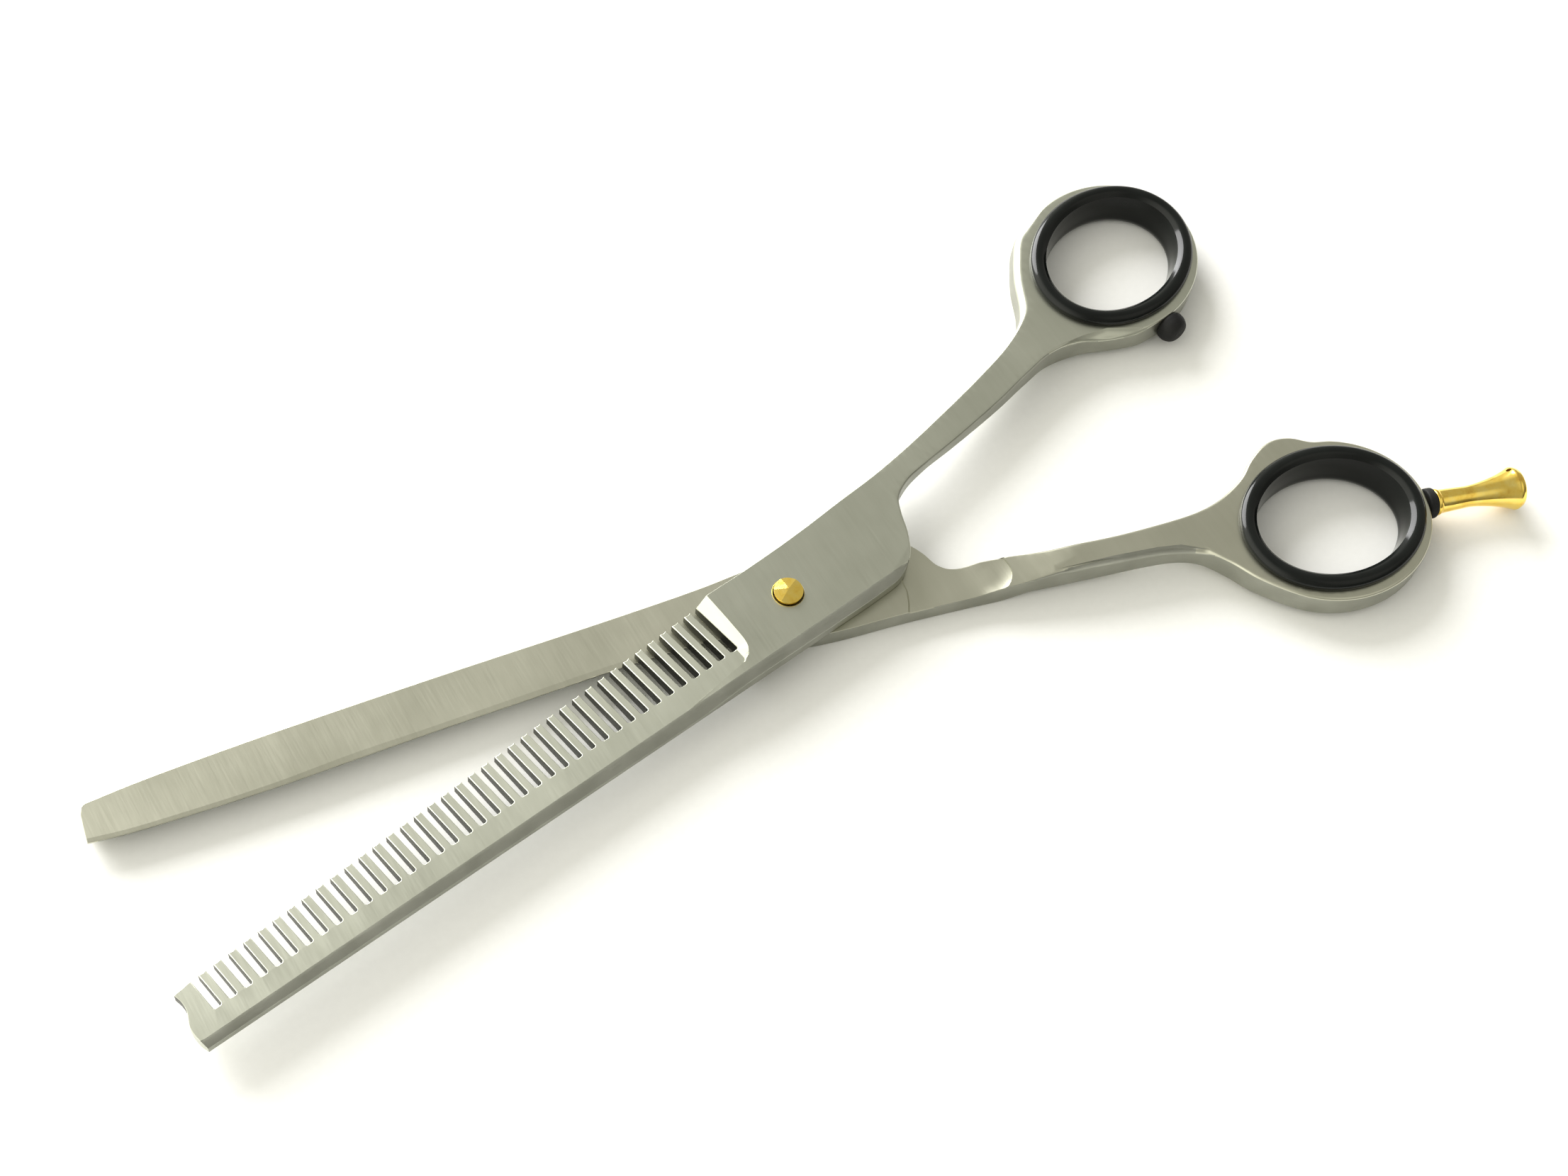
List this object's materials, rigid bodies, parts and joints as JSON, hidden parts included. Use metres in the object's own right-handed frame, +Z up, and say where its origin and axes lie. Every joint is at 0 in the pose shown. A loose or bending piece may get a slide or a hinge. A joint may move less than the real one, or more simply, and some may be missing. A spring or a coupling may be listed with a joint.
{
  "type": "thinning shears",
  "caption": "Thinning shears with a toothed and a straight blade on a pivot screw, black finger ring inserts, a rubber bumper and a screw-in finger rest.",
  "frame": {"origin": "on the pivot axis, at the underside of the pivot bush, which is level with the face the shears lie on", "axes": "+Z up along the pivot axis; +X from the pivot to the blade tips, halfway between the blades as they lie open at rest; +Y towards the toothed blade's tip and the finger ring"},
  "size_m": [0.2106, 0.0839, 0.0077],
  "materials": {
    "steel": "satin ground stainless steel",
    "bush_steel": "turned stainless steel",
    "gold_metal": "polished, gold coloured",
    "ring_plastic": "glossy black",
    "bumper_rubber": "matt black",
    "washer_plastic": "dull black"
  },
  "bodies": {
    "straight_half": {"straight_blade": "steel", "finger_ring_insert": "ring_plastic", "finger_rest_washer": "bumper_rubber", "pivot_bush": "bush_steel"},
    "toothed_half": {"toothed_blade": "steel", "thumb_ring_insert": "ring_plastic", "bumper": "bumper_rubber", "screw_washer": "washer_plastic"},
    "tension_screw": {"pivot_screw": "gold_metal"},
    "rest": {"finger_rest": "gold_metal"}
  },
  "joints": [
    {"name": "blade_pivot", "type": "hinge", "parent": "straight_half", "child": "toothed_half", "pos_m": [0, 0, 0.0033], "axis": [0, 0, 1], "range_deg": [-16.2, 120]},
    {"name": "tension_screw_turn", "type": "hinge", "parent": "straight_half", "child": "tension_screw", "pos_m": [0, 0, 0.0033], "axis": [0, 0, 1], "range_deg": [-90, 90]},
    {"name": "finger_rest_turn", "type": "hinge", "parent": "straight_half", "child": "rest", "pos_m": [-0.09498, 0.03012, 0.00335], "axis": [-0.9604, 0.2786, 0], "range_deg": [0, 360]}
  ]
}
